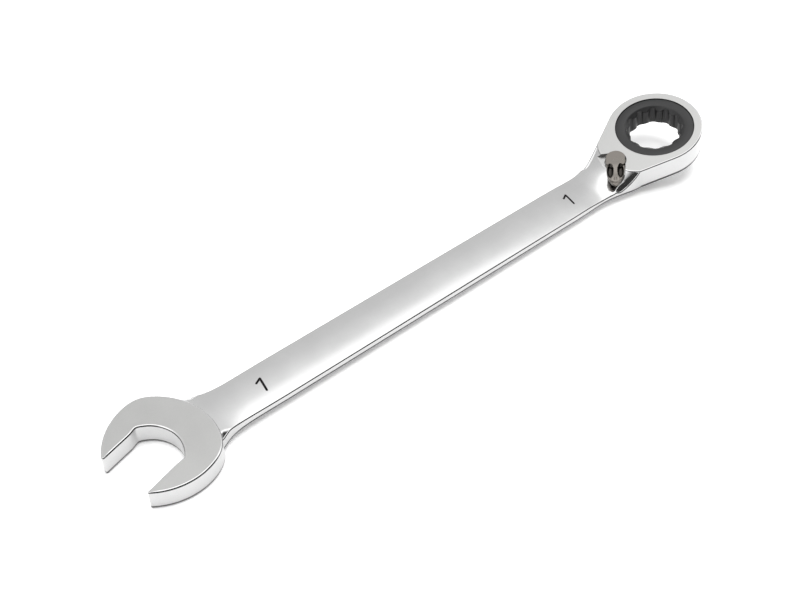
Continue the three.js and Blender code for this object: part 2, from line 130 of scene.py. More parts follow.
# ------------------------------------------------------------------ floor and light
FLOOR_SIZE, FLOOR_GAP = 3.0, 0.0002


def new_material(name):
    mat = bpy.data.materials.new(name)
    mat.use_nodes = True
    return mat, mat.node_tree, mat.node_tree.nodes["Principled BSDF"]


def make_floor():
    """A pale floor just under the wrench, lit a little from within so that its shadows stay soft."""
    bm = bmesh.new()
    bmesh.ops.create_grid(bm, x_segments=1, y_segments=1, size=FLOOR_SIZE)
    mesh = bpy.data.meshes.new("floor")
    bm.to_mesh(mesh)
    bm.free()
    floor = bpy.data.objects.new("floor", mesh)
    floor.location.z = -FLOOR_GAP
    bpy.context.scene.collection.objects.link(floor)
    mat, _, bsdf = new_material("floor")
    bsdf.inputs["Base Color"].default_value = (0.86, 0.86, 0.86, 1)
    bsdf.inputs["Emission Color"].default_value = (1, 1, 1, 1)
    bsdf.inputs["Emission Strength"].default_value = 0.24
    bsdf.inputs["Roughness"].default_value = 0.8
    bsdf.inputs["Specular IOR Level"].default_value = 0.1
    mesh.materials.append(mat)


class Nodes:
    """Short calls for building a node tree."""

    def __init__(self, tree):
        self.tree = tree

    def new(self, kind, **inputs):
        node = self.tree.nodes.new("ShaderNode" + kind)
        for key, value in inputs.items():
            self.set(node, key.replace("_", " "), value)
        return node

    def set(self, node, key, value):
        socket = node.inputs[key]
        if hasattr(value, "is_output"):
            self.tree.links.new(value, socket)
        else:
            socket.default_value = value

    def math(self, operation, a, b=0.0, clamp=False):
        node = self.tree.nodes.new("ShaderNodeMath")
        node.operation = operation
        node.use_clamp = clamp
        self.set(node, 0, a)
        self.set(node, 1, b)
        return node.outputs[0]

    def dot(self, vector, direction):
        node = self.tree.nodes.new("ShaderNodeVectorMath")
        node.operation = "DOT_PRODUCT"
        self.set(node, 0, vector)
        self.set(node, 1, Vector(direction))
        return node.outputs["Value"]

    def remap(self, value, lo, hi, to_lo=0.0, to_hi=1.0, smooth=False):
        node = self.tree.nodes.new("ShaderNodeMapRange")
        if smooth:
            node.interpolation_type = "SMOOTHSTEP"
        for key, v in (("Value", value), ("From Min", lo), ("From Max", hi),
                       ("To Min", to_lo), ("To Max", to_hi)):
            self.set(node, key, v)
        return node.outputs["Result"]

    def ramp(self, value, stops):
        node = self.tree.nodes.new("ShaderNodeValToRGB")
        self.set(node, "Fac", value)
        elements = node.color_ramp.elements
        while len(elements) > 1:
            elements.remove(elements[0])
        elements[0].position, elements[0].color = stops[0][0], (*[stops[0][1]] * 3, 1)
        for position, grey in stops[1:]:
            elements.new(position).color = (grey, grey, grey, 1)
        return node.outputs["Color"]


# The studio has pale walls that brighten to a soft light above the near side of the wrench, a slightly
# lower light past its ratchet end, and a dim room on the near side, low down. A stop is the height along
# SKY_UP, from -1 to 1, and the brightness there.
SKY_UP = (-0.04, -0.70, 0.70)
SKY_STOPS = [
    (-1.0, 0.85), (-0.45, 0.90), (-0.10, 0.97), (0.0, 1.01), (0.10, 1.14), (0.20, 1.28),
    (0.24, 1.46), (0.29, 1.90), (0.40, 2.15), (0.50, 2.10), (0.66, 1.25), (1.0, 1.1),
]
SKY_SCALE = 2.2
END_SIDE, END_FROM, END_TO, END_SHIFT = (1, 0, 0), 0.55, 0.63, 0.13
DARK_SIDE, DARK_FROM, DARK_TO, DARK_LEVEL = (-0.10, -0.98, 0.17), 0.22, 0.52, 0.05


def make_world():
    world = bpy.data.worlds.new("studio")
    bpy.context.scene.world = world
    world.use_nodes = True
    world.node_tree.nodes.clear()
    n = Nodes(world.node_tree)
    way = n.new("TexCoord").outputs["Generated"]
    end = n.remap(n.dot(way, END_SIDE), END_FROM, END_TO, 0.0, END_SHIFT, smooth=True)
    tall = n.remap(n.math("SUBTRACT", n.dot(way, SKY_UP), end), -1.0, 1.0)
    sky = n.ramp(tall, [((t + 1) / 2, v / SKY_SCALE) for t, v in SKY_STOPS])
    factor = n.remap(n.dot(way, DARK_SIDE), DARK_FROM, DARK_TO, 1.0, DARK_LEVEL, smooth=True)
    strength = n.math("MULTIPLY", factor, SKY_SCALE)
    back = n.new("Background", Color=sky, Strength=strength)
    n.new("OutputWorld", Surface=back.outputs[0])


def area_light(name, where, aim, size, power, in_reflections=True):
    data = bpy.data.lights.new(name, "AREA")
    data.shape = "RECTANGLE"
    data.size, data.size_y = size
    data.energy = power
    ob = bpy.data.objects.new(name, data)
    ob.location = where
    ob.rotation_mode = "QUATERNION"
    ob.rotation_quaternion = (Vector(aim) - Vector(where)).to_track_quat("-Z", "Y")
    ob.visible_glossy = in_reflections
    bpy.context.scene.collection.objects.link(ob)


make_floor()
make_world()
area_light("overhead", where=(0.10, -0.35, 1.7), aim=(0.13, 0, 0), size=(1.8, 1.6), power=9)
area_light("top", where=(0.28, -0.15, 1.7), aim=(0.26, 0, 0), size=(0.9, 0.9), power=15, in_reflections=False)
bpy.context.scene.view_settings.view_transform = "Standard"


# ------------------------------------------------------------------ materials
CLOUD_SCALE, GRAIN_SCALE = 60.0, 2600.0
SCRATCH_TURN, SCRATCH_SCALE = (0.05, -0.03, 0.12), (40.0, 2200.0, 900.0)
BRUSH_SCALE = (60.0, 3600.0, 3600.0)
BUMP_HEIGHT = 0.00002


def finish_metal(name, color, rough, spread, scratch, metallic=1.0, brush=None, pits=0.0, specular=None):
    """A metal whose gloss varies in soft clouds and fine scratches; brush = (direction, strength)."""
    mat, tree, bsdf = new_material(name)
    n = Nodes(tree)
    bsdf.inputs["Metallic"].default_value = metallic
    if specular is not None:
        bsdf.inputs["Specular IOR Level"].default_value = specular
    spot = n.new("TexCoord").outputs["Object"]
    cloud = n.new("TexNoise", Vector=spot, Scale=CLOUD_SCALE, Detail=4.0).outputs["Fac"]
    grain = n.new("TexNoise", Vector=spot, Scale=GRAIN_SCALE, Detail=3.0).outputs["Fac"]
    squeeze = n.new("Mapping", Vector=spot)
    squeeze.inputs["Rotation"].default_value = SCRATCH_TURN
    squeeze.inputs["Scale"].default_value = SCRATCH_SCALE
    line = n.new("TexNoise", Vector=squeeze.outputs[0], Scale=1.0, Detail=6.0, Roughness=0.7)
    lines = n.remap(line.outputs["Fac"], 0.58, 0.80, smooth=True)
    wear = n.math("MULTIPLY", lines, scratch)
    gloss = n.remap(cloud, 0.3, 0.7, rough - spread, rough + spread)
    n.set(bsdf, "Roughness", n.math("ADD", gloss, wear))
    blend = n.math("ADD", n.math("MULTIPLY", cloud, 0.5), n.math("MULTIPLY", grain, 0.5))
    mix = tree.nodes.new("ShaderNodeMix")
    mix.data_type = "RGBA"
    tree.links.new(n.remap(blend, 0.35, 0.65), mix.inputs["Factor"])
    mix.inputs["A"].default_value = (*[c * 0.955 for c in color], 1)
    mix.inputs["B"].default_value = (*[min(1.0, c * 1.03) for c in color], 1)
    tree.links.new(mix.outputs["Result"], bsdf.inputs["Base Color"])
    height = n.math("ADD", n.math("MULTIPLY", grain, 0.25 + pits), n.math("MULTIPLY", lines, 0.35))
    if brush:
        direction, strength = brush
        comb = n.new("Mapping", Vector=spot)
        comb.inputs["Rotation"].default_value = direction
        comb.inputs["Scale"].default_value = BRUSH_SCALE
        hair = n.new("TexNoise", Vector=comb.outputs[0], Scale=1.0, Detail=4.0)
        height = n.math("ADD", height, n.math("MULTIPLY", hair.outputs["Fac"], strength))
    bump = n.new("Bump", Height=height, Strength=0.35, Distance=BUMP_HEIGHT)
    tree.links.new(bump.outputs["Normal"], bsdf.inputs["Normal"])
    return mat


PLATE_BRUSH = ((0, math.radians(15), math.radians(30)), 2.2)
LEVER_BRUSH = ((0, math.radians(15), math.radians(20)), 2.5)

CHROME = finish_metal("chrome", (0.55, 0.55, 0.55), 0.13, 0.03, 0.05)
GROUND = finish_metal("chrome_ground_faces", (0.415, 0.415, 0.41), 0.33, 0.05, 0.06, brush=PLATE_BRUSH)
# painted dark reflection: near-black chrome for the rounded top edges next to the walls, standing in for the
# dark room mirrored there
EDGE_PAINTED_DARK = finish_metal("chrome_edges_painted_dark", (0.10, 0.10, 0.10), 0.20, 0.05, 0.06)
# painted shade: the darkest chrome, for the lower rims and foot bands, standing in for the contact shadow
# under the wrench and its dark reflection
FOOT_PAINTED_SHADE = finish_metal("chrome_lower_edges_painted_shade", (0.035, 0.035, 0.036), 0.24, 0.05, 0.06)
BLACK = finish_metal("black_phosphate", (0.010, 0.010, 0.0105), 0.38, 0.06, 0.05,
                     metallic=0.1, pits=1.2, specular=0.45)
NICKEL = finish_metal("dark_nickel", (0.175, 0.162, 0.148), 0.30, 0.09, 0.08, brush=LEVER_BRUSH)
# painted shade: a darker nickel for the lever's deep scoops, standing in for the shade inside them
POCKET_PAINTED_SHADE = finish_metal("nickel_pockets_painted_shade", (0.05, 0.046, 0.042), 0.42, 0.08, 0.04, pits=0.8)
STEEL = finish_metal("spring_steel", (0.50, 0.50, 0.51), 0.25, 0.05, 0.05)
PAINT = finish_metal("black_fill", (0.004, 0.004, 0.004), 0.6, 0.08, 0.0,
                     metallic=0.0, pits=0.8, specular=0.12)


# ------------------------------------------------------------------ mesh helpers
def mesh_object(name, verts, faces, place=PART, sharp=34.0, looks=(), tones=None):
    """A closed mesh from vertices in millimetres, put in place, smooth but for its sharp edges."""
    mesh = bpy.data.meshes.new(name)
    points = [(place @ Vector(v)) * MM for v in verts]
    mesh.from_pydata(points, [], [tuple(int(i) for i in f) for f in faces])
    mesh.validate()
    bm = bmesh.new()
    bm.from_mesh(mesh)
    bmesh.ops.remove_doubles(bm, verts=bm.verts, dist=1e-7)
    bmesh.ops.recalc_face_normals(bm, faces=bm.faces)
    bm.to_mesh(mesh)
    bm.free()
    ob = bpy.data.objects.new(name, mesh)
    bpy.context.scene.collection.objects.link(ob)
    shade(ob, sharp)
    for look in looks:
        mesh.materials.append(look)
    if tones:
        mesh.polygons.foreach_set("material_index", tones)
    return ob


def shade(ob, angle):
    """Smooth faces, with edges sharper than the angle left crisp."""
    bm = bmesh.new()
    bm.from_mesh(ob.data)
    limit = math.radians(angle)
    for f in bm.faces:
        f.smooth = True
    for e in bm.edges:
        e.smooth = len(e.link_faces) == 2 and e.calc_face_angle(0.0) < limit
    bm.to_mesh(ob.data)
    bm.free()


def weight_normals(ob):
    """Broad faces decide the shading, so that they stay flat next to small rounded edges."""
    mod = ob.modifiers.new("weights", "WEIGHTED_NORMAL")
    mod.mode = "FACE_AREA"
    mod.keep_sharp = True
    mod.weight = 80


def inset(outline, depth):
    """The closed counter-clockwise outline moved inwards by depth."""
    p = np.asarray(outline, float)
    before = p - np.roll(p, 1, axis=0)
    after = np.roll(p, -1, axis=0) - p
    nb = np.stack([-before[:, 1], before[:, 0]], 1) / np.linalg.norm(before, axis=1)[:, None]
    na = np.stack([-after[:, 1], after[:, 0]], 1) / np.linalg.norm(after, axis=1)[:, None]
    n = nb + na
    n /= np.maximum((n * nb).sum(1), 0.45)[:, None]
    return p + n * depth


def room_inside(outline, r):
    """How much of r each point of the outline may move inwards before a tight corner folds over."""
    p = np.asarray(outline, float)
    after = np.roll(p, -1, axis=0) - p
    heading = np.arctan2(after[:, 1], after[:, 0])
    turn = (heading - np.roll(heading, 1) + math.pi) % (2 * math.pi) - math.pi
    curve = turn / np.hypot(*after.T)
    free = np.clip(0.75 / np.maximum(curve * r, 1e-6), 0.15, 1.0)
    lowest = np.min([np.roll(free, k) for k in range(-6, 7)], axis=0)
    return np.mean([np.roll(lowest, k) for k in range(-4, 5)], axis=0)


def rounded_slab(outline, z0, z1, r, foot, painted_shade_tone, steps=4):
    """Vertices, faces and tones of an extruded outline whose two rims are rounded by r.

    The lower rim and a band of the wall above it, foot high, take the given tone as painted shade; the upper
    rounding's two faces next to the wall are painted dark as a painted dark reflection.
    """
    room = room_inside(outline, r)[:, None]
    levels = []
    for i in range(steps + 1):
        a = math.pi / 2 * i / steps
        levels.append((r * (1 - math.sin(a)), z0 + r * (1 - math.cos(a))))
    upper = [(d, z0 + z1 - z) for d, z in reversed(levels)]
    levels += [(0.0, z0 + r + foot)] + upper
    verts, count = [], len(outline)
    for depth, z in levels:
        ring = inset(outline, depth * room)
        verts += [(x, y, z) for x, y in ring]
    # painted shade on the lower rim and foot band, painted dark reflection on the two upper rounding faces
    # next to the wall
    tones = [painted_shade_tone] * (steps + 1) + [PLATED] + [DARK_RIM_PAINTED] * 2 + [PLATED] * (steps - 2)
    tones = [tone for tone in tones for _ in range(count)] + [FLAT, FLAT]
    return verts, tube_faces(len(levels), count), tones


def tube_faces(rings, count, capped=True):
    """Faces between rings of count points each, and a face on both ends."""
    faces = []
    for k in range(rings - 1):
        a, b = k * count, (k + 1) * count
        for i in range(count):
            j = (i + 1) % count
            faces.append((a + i, a + j, b + j, b + i))
    if capped:
        faces.append(tuple(reversed(range(count))))
        faces.append(tuple(range((rings - 1) * count, rings * count)))
    return faces


def prism(outline, z0, z1):
    """Vertices and faces of a plain extruded outline."""
    verts = [(x, y, z) for z in (z0, z1) for x, y in outline]
    return verts, tube_faces(2, len(outline))


def arc(cx, cy, r, a0, a1, steps):
    angles = [a0 + (a1 - a0) * i / steps for i in range(steps + 1)]
    return [(cx + r * math.cos(a), cy + r * math.sin(a)) for a in angles]


def ring_points(r, count, cx=0.0):
    return arc(cx, 0.0, r, 0, 2 * math.pi, count)[:-1]


def eased(points, spread, gap=0.35):
    """The closed outline in short equal steps, its corners eased over a length of about spread."""
    p = np.array(list(points) + [points[0]], float)
    along = np.concatenate([[0], np.cumsum(np.hypot(*np.diff(p, axis=0).T))])
    at = np.linspace(0, along[-1], round(along[-1] / gap), endpoint=False)
    p = np.stack([np.interp(at, along, p[:, 0]), np.interp(at, along, p[:, 1])], 1)
    reach = math.ceil(3 * spread / gap)
    offsets = np.arange(-reach, reach + 1)
    weight = np.exp(-(offsets * gap / spread) ** 2 / 2)
    return sum(w * np.roll(p, k, axis=0) for k, w in zip(offsets, weight)) / weight.sum()


def boolean(ob, cutters, operation="DIFFERENCE"):
    """Joins or cuts ob with each cutter in turn and removes the cutters."""
    for cutter in cutters:
        mod = ob.modifiers.new("cut", "BOOLEAN")
        mod.operation = operation
        mod.solver = "EXACT"
        mod.object = cutter
        graph = bpy.context.evaluated_depsgraph_get()
        mesh = bpy.data.meshes.new_from_object(ob.evaluated_get(graph))
        ob.modifiers.clear()
        old, ob.data = ob.data, mesh
        bpy.data.meshes.remove(old)
        bpy.data.objects.remove(cutter)
    return ob


# ------------------------------------------------------------------ wrench body
# the body's tones: chrome, ground faces, a painted dark reflection on upper rounded edges by the walls, and
# painted shade on lower rims
BODY_LOOKS = [CHROME, GROUND, EDGE_PAINTED_DARK, FOOT_PAINTED_SHADE]
PLATED, FLAT, DARK_RIM_PAINTED, LOWER_SHADE_PAINTED = range(4)

def from_jaw(a, v):
    c, s = math.cos(JAW_TURN), math.sin(JAW_TURN)
    return JAW_X + a * c - v * s, a * s + v * c


def plate_half_width(a, arm):
    """The lesser of the arm's side arc and the back arc, with a soft corner between them."""
    side = math.sqrt(max(arm["r"] ** 2 - (a - arm["a"]) ** 2, 0)) - arm["v"]
    back = math.sqrt(max(BACK_R ** 2 - (a - BACK_A) ** 2, 0))
    return (side ** -CORNER_POWER + back ** -CORNER_POWER) ** (-1 / CORNER_POWER)


def arm_outline(arm, steps=110):
    points = []
    for i in range(steps + 1):
        t = math.sin(i / steps * math.pi / 2) ** 1.15
        a = arm["tip"] + (BACK_A + BACK_R - 0.02 - arm["tip"]) * t
        points.append((a, plate_half_width(a, arm)))
    return points


def open_end_plate():
    relief = JAW_HALF + THROAT_RELIEF
    end = math.asin(relief / THROAT_R)
    throat = arc(THROAT_A, 0, THROAT_R, -end, end, 64)
    a0 = throat[0][0]
    gap = [(NEAR_SIDE["tip"], -JAW_HALF), (a0 - 4.2, -JAW_HALF), (a0 - 2.4, 0.2 - relief), (a0 - 1, -relief)]
    gap += throat
    gap += [(a0 - 1, relief), (a0 - 2.4, relief - 0.2), (a0 - 4.2, JAW_HALF), (FAR_SIDE["tip"], JAW_HALF)]
    near = [(a, -v) for a, v in arm_outline(NEAR_SIDE)]
    far = list(reversed(arm_outline(FAR_SIDE)))
    outline = near + far[1:] + list(reversed(gap))
    outline = [from_jaw(a, v) for a, v in eased(outline, PLATE_EASING)]
    # the plate's lower rim and foot band take the dark rim tone, a painted shade line along its bottom
    verts, faces, tones = rounded_slab(outline, 0, PLATE_T, PLATE_ROUND, PAINTED_SHADE_BAND, DARK_RIM_PAINTED)
    return mesh_object("open_end_plate", verts, faces, looks=BODY_LOOKS, tones=tones)


def soft(x, table, spread=1.6):
    """A table of (x, value) read off with its corners smoothed."""
    xs, vs = zip(*table)
    steps = np.linspace(-2, 2, 17)
    weight = np.exp(-steps ** 2 / 2)
    return sum(w * np.interp(x + d * spread, xs, vs) for d, w in zip(steps, weight)) / weight.sum()


# along the handle, as (x, value): half width, height of the crown, fall of the crown towards the edges,
# and width of the hollowed shoulder at the edges of both necks
HALF_W = [(-4, 16.5), (2, 15.9), (5, 14.9), (8, 13.5), (11, 12.4), (14, 11.8), (18, 11.5), (23, 11.35),
          (30, 11.45), (42, 11.6), (225, 11.6), (238, 11.4), (246, 11.5), (251, 11.9), (256, 12.7),
          (260, 13.5), (264, 14.4), (267, 15.1), (272, 15.4), (276, 15.4)]
CROWN_Z = [(-4, 9.75), (5, 9.6), (9, 9.1), (13, 8.6), (18, 8.2), (24, 8.0), (30, 7.95), (300, 7.95)]
CROWN_FALL = [(-4, 0.2), (6, 0.35), (13, 0.6), (22, 0.75), (234, 0.75), (245, 1.25), (256, 1.4), (300, 1.4)]
SHOULDER = [(2.5, 0.0), (4.5, 2.6), (7.5, 2.6), (10, 1.2), (12, 0.0), (254.3, 0.0), (257.3, 2.8), (260, 2.8),
            (264, 2.2), (268, 1.2), (271, 0.6), (300, 0.6)]
SHOULDER_SLOPE = 0.75
BURIED = 0.03


def head_top(x):
    """Height of the ratchet head's top plane at x."""
    return HEAD_Z + (x - HEAD_X) * math.tan(HEAD_TILT)


def head_bottom(x):
    """Height of the ratchet head's underside at x."""
    foot = HEAD_Z - HEAD_T * COS_T
    return foot + (x - HEAD_X - HEAD_T * SIN_T) * math.tan(HEAD_TILT)


def scoop_rise(out):
    """From 1 at the ratchet head's back edge to 0 where the scoop runs out into the handle."""
    return max(0.0, 1 - out / SCOOP_RUN) ** SCOOP_POWER


def top_height(x, y, w):
    """Height of the upper surface: the crowned handle, then the scoop up to the ratchet head."""
    fall = soft(x, CROWN_FALL)
    crown = soft(x, CROWN_Z) - fall * (y / (w - EDGE_ROUND)) ** 2
    centre_x = HEAD_X + BACK_ARC_S * COS_T
    away = math.hypot((x - centre_x) / COS_T, y)
    out = away - BACK_ARC_R
    if out <= 0:
        z = head_top(x) - BURIED
    else:
        edge_x = centre_x + (x - centre_x) * BACK_ARC_R / away
        rim = head_top(edge_x) - BURIED
        z = crown + (rim - crown) * scoop_rise(out)
    width = soft(x, SHOULDER, 0.6)
    if width > 0.05:
        t = max(0.0, (abs(y) - (w - width)) / width)
        z -= SHOULDER_SLOPE * width * t ** 1.25
    return z


def bottom_height(x, y, w):
    """Height of the underside: the mirrored crown, down to the ratchet head's own underside."""
    fall = soft(x, CROWN_FALL)
    crown = soft(x, CROWN_Z) - fall * (y / (w - EDGE_ROUND)) ** 2
    return max(2 * MID_Z - crown, head_bottom(x) + 0.06)


def handle():
    """Sections across the handle and both necks, their ends buried in the two heads."""
    xs = np.concatenate([np.arange(-3, 34, 0.8), np.arange(34, 234, 4.0), np.arange(234, 275.1, 0.7)])
    count, crowding = 44, 0.96
    reach = math.pi / 2 * crowding
    spread = np.sin(np.linspace(-math.pi / 2, math.pi / 2, count) * crowding) / math.sin(reach)
    verts = []
    for x in xs:
        w = soft(x, HALF_W)
        e = EDGE_ROUND
        ys = spread * (w - e)
        top = [(y, top_height(x, y, w)) for y in ys]
        low = [(y, bottom_height(x, y, w)) for y in ys]
        edge_top, edge_low = top[0][1], low[0][1]
        rim = [(w - e + e * math.sin(a), -e * (1 - math.cos(a))) for a in np.linspace(0, math.pi / 2, 5)[1:]]
        far_rim = [(y, edge_top + dz) for y, dz in rim]
        foot = edge_low + e + PAINTED_SHADE_BAND
        section = top + far_rim + [(w, foot)] + [(y, edge_low - dz) for y, dz in reversed(rim)] + low[::-1]
        section += [(-y, edge_low - dz) for y, dz in rim] + [(-w, foot)]
        section += [(-y, edge_top + dz) for y, dz in reversed(rim)]
        verts += [(x, y, z) for y, z in section]
    faces = tube_faces(len(xs), len(section))
    # each side: one bright face, three faces of painted dark reflection at the top edge, the wall, then five
    # faces of painted shade at the bottom
    side = [PLATED] + [DARK_RIM_PAINTED] * 3 + [PLATED] + [LOWER_SHADE_PAINTED] * 5
    face = [PLATED] * (count - 1)
    tones = (face + side + face + side[::-1]) * (len(xs) - 1) + [PLATED] * 2
    return mesh_object("handle", verts, faces, looks=BODY_LOOKS, tones=tones)


def head_plate():
    tangent = math.pi / 2 + HEAD_TAPER
    nose = arc(0, 0, HEAD_R, -tangent, tangent, 150)
    slope = math.tan(HEAD_TAPER)
    side = HEAD_R / math.cos(HEAD_TAPER)
    r = BACK_ARC_R + HEAD_ROUND
    # where the tapered side meets the back arc
    qa, qb, qc = 1 + slope ** 2, 2 * (side * slope - BACK_ARC_S), BACK_ARC_S ** 2 + side ** 2 - r ** 2
    s = (-qb - math.sqrt(qb * qb - 4 * qa * qc)) / (2 * qa)
    corner = math.atan2(side + s * slope, s - BACK_ARC_S)
    back = arc(BACK_ARC_S, 0, r, corner, 2 * math.pi - corner, 60)
    outline = eased(nose + back[1:-1], HEAD_EASING)
    # the head's lower rim and taller foot band take the darkest tone, a painted shadow under the tilted head
    verts, faces, tones = rounded_slab(outline, -HEAD_T, 0, HEAD_ROUND, HEAD_PAINTED_SHADE_BAND, LOWER_SHADE_PAINTED)
    return mesh_object("ratchet_head", verts, faces, place=HEAD, looks=BODY_LOOKS, tones=tones)


def sector(r0, r1, half, z0, z1):
    """A slab between two radii, half an angle each side of the handle's direction."""
    outer = arc(0, 0, r1, math.pi - half, math.pi + half, 40)
    inner = arc(0, 0, r0, math.pi + half, math.pi - half, 40)
    return prism(outer + inner, z0, z1)


def lever_recess():
    """The shallow fan behind the boss where the root of the lever's tab swings."""
    flank, start, end, open_u, open_v = 5.2, 2, 9.5, 14, 9
    c, s = math.cos(LEVER_THROW), math.sin(LEVER_THROW)
    a, b = [(u * c - flank * s, u * s + flank * c) for u in (start, end)]
    fan = [a, b, (open_u, open_v), (open_u, -open_v), (b[0], -b[1]), (a[0], -a[1])]
    shape = prism([(LEVER_S - x, -y) for x, y in fan][::-1], RECESS_FLOOR, ABOVE)
    return mesh_object("lever_recess", *shape, place=HEAD, looks=BODY_LOOKS, tones=[FLAT] * len(shape[1]))


def wrench_body():
    """Handle and both heads joined, with the seats of the gear, the pawl and the lever cut out."""
    body = handle()
    boolean(body, [open_end_plate(), head_plate()], "UNION")

    def cutter(outline, z0, z1):
        return mesh_object("cutter", *prism(outline, z0, z1), place=HEAD)

    def pocket(inner, outer, half):
        return mesh_object("cutter", *sector(inner, outer, half, *PAWL_POCKET), place=HEAD)

    cuts = [
        cutter(ring_points(LIP_R, 180), BELOW, 5),
        cutter(ring_points(CAVITY_R, 180), BELOW, LIP_D),
        cutter(ring_points(RING_GROOVE[0], 180), *RING_GROOVE[1:]),
        pocket(POCKET_INNER_R, PAWL_BACK_R, PAWL_HALF),
        pocket(POCKET_INNER_R, WINDOW_BACK_R, WINDOW_HALF),
        lever_recess(),
        cutter(ring_points(BOSS_R + BOSS_GAP, 96, LEVER_S), BOSS_FLOOR, ABOVE),
        cutter(ring_points(STEM_R + STEM_GAP, 64, LEVER_S), STEM_BOTTOM - BOSS_GAP, ABOVE),
        cutter(ring_points(STEM_GROOVE[0], 64, LEVER_S), *STEM_GROOVE[1:]),
    ]
    boolean(body, cuts)
    body.name = "wrench_body_fine"
    shade(body, 30)
    weight_normals(body)
    return body


BODY = wrench_body()
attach(BODY, "wrench")
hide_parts("wrench_body")


# ------------------------------------------------------------------ reversing lever
def step(x, lo, hi):
    """From 0 at lo to 1 at hi, with soft ends."""
    t = min(1.0, max(0.0, (x - lo) / (hi - lo)))
    return t * t * (3 - 2 * t)


TAB_HALF = [(-1, 4.75), (3, 4.7), (7, 4.65), (9.5, 4.5), (11.5, 4.0), (13, 3.25), (14.6, 2.3), (15.4, 1.5),
            (15.8, 0.8), (TAB_LENGTH, 0.3)]
NOSE = 14.8
POCKET_U, POCKET_V, POCKET_HALF_U, POCKET_HALF_V, POCKET_DEPTH = 7.7, 2.72, 4.55, 1.62, 1.65
TAB_TOP, LEVER_ROUND = 0.30, 0.3
NOTCH_V, NOTCH_DEPTH = 0.55, 0.25


def lever_half_width(u):
    """Half width of boss and tab at u, along the lever from its turning axis."""
    boss = math.sqrt(max(BOSS_R ** 2 - u * u, 0.0))
    if u < 0:
        return max(boss, 0.02)
    tab = float(np.interp(u, *zip(*TAB_HALF)))
    return (boss ** 10 + tab ** 10) ** 0.1


def in_pocket(u, v):
    """Below 1 inside the scoops on both sides of the lever's ridge."""
    return math.hypot((u - POCKET_U) / POCKET_HALF_U, (abs(v) - POCKET_V) / POCKET_HALF_V)


def lever_top(u, v, half):
    """Height of the lever's upper surface: boss, central ridge, two scoops, a nose and a lower lip."""
    reach = u + 0.16 * v * v
    tab = TAB_TOP - 0.55 * step(u, 10.0, NOSE) - 0.2 * step(abs(v), 3.4, 4.7)
    ridge = BOSS_TOP - 0.75 * step(u, 3.5, 10.5) - 0.45 * step(u, 12.0, NOSE)
    waist = 0.95 + 3.9 * step(6.3 - u, 0.0, 3.4) + 1.2 * step(u, 9.8, 13.0)
    on_ridge = 1 - step(abs(v), waist, waist + 0.35)
    z = tab + (ridge - tab) * on_ridge
    q = in_pocket(u, v)
    if q < 1:
        z -= POCKET_DEPTH * (1 - q ** 4)
    if u > 10:
        z -= 1.05 * step(reach, NOSE, NOSE + 0.25) + 0.55 * step(reach, NOSE + 0.3, TAB_LENGTH + 1.0)
    for side in (-NOTCH_V, NOTCH_V):
        across = 1 - step(abs(v - side), 0.08, 0.3)
        z -= NOTCH_DEPTH * across * step(u, 12.2, 12.4) * (1 - step(u, 13.6, 13.8))
    rim = half - abs(v)
    if rim < LEVER_ROUND:
        z -= LEVER_ROUND - math.sqrt(max(LEVER_ROUND ** 2 - (LEVER_ROUND - rim) ** 2, 0.0))
    return z


def lever_under(u):
    """Height of the underside: the deep boss, then the thin tab."""
    if u < 5.6:
        return LEVER_BOTTOM + 2.4 * step(u, 5.2, 5.6)
    return -1.5 - 1.0 * step(u, 6.0, 10.8)


def lever_mesh():
    """Sections across the lever from the back of its boss to the nose, joined to the stem."""
    us = np.concatenate([
        -BOSS_R * np.cos(np.linspace(0.02, math.pi / 2, 30)), np.linspace(0.15, TAB_LENGTH - 0.03, 150),
    ])
    rows = 56
    spread = np.sin(np.linspace(-math.pi / 2, math.pi / 2, rows))
    walls = [(0.0, 0.08), (0.0, 0.30), (0.0, 0.60), (0.12, 0.90), (0.40, 1.0)]
    verts = []
    for u in us:
        half = lever_half_width(u)
        under = lever_under(u)
        top = [(v, lever_top(u, v, half)) for v in spread * half]
        drop = top[-1][1] - under
        wall = []
        for dent, f in walls:
            wall.append((max(half - dent, 0.01), top[-1][1] - drop * f))
        low = [(v, under) for v in np.linspace(wall[-1][0], -wall[-1][0], 14)[1:-1]]
        section = top + wall + low + [(-v, d) for v, d in reversed(wall)]
        verts += [(u, v, d) for v, d in section]
    faces = tube_faces(len(us), len(section))
    # faces in the scoops, not the underside below them, take the darker nickel as painted shade
    tones = []
    for face in faces:
        inside = max(in_pocket(*verts[i][:2]) for i in face) < 0.97
        tones.append(int(inside and verts[face[0]][2] > -1.45))
    lever = mesh_object("reversing_lever_fine", verts, faces, place=LEVER, sharp=42.0,
                        looks=[NICKEL, POCKET_PAINTED_SHADE], tones=tones)
    profile = [(0.0, -3.5), (STEM_R, -3.5), (STEM_R, -9.65), (2.5, -9.65), (2.5, -10.55), (STEM_R, -10.55),
               (STEM_R, -10.9), (STEM_R - 0.3, STEM_BOTTOM), (0.0, STEM_BOTTOM)]
    stem = lathe("stem", profile, 64, LEVER)
    across = Matrix.Translation((0, 0, PLUNGER_Z)) @ Matrix.Rotation(-math.pi / 2, 4, "Y")
    hole = mesh_object("hole", *prism(ring_points(PLUNGER_HOLE_R, 32), -1.3, 5.0), place=LEVER @ across)
    boolean(stem, [hole])
    boolean(lever, [stem], "UNION")
    shade(lever, 42)
    weight_normals(lever)
    return lever


def lathe(name, profile, count, place):
    """A body of revolution about z; the profile of (radius, height) starts and ends on the axis."""
    inner = profile[1:-1]
    angles = [2 * math.pi * i / count for i in range(count)]
    verts = [(r * math.cos(a), r * math.sin(a), z) for r, z in inner for a in angles]
    return mesh_object(name, verts, tube_faces(len(inner), count), place=place)


LEVER_PIECE = lever_mesh()
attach(LEVER_PIECE, "lever")
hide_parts("reversing_lever")


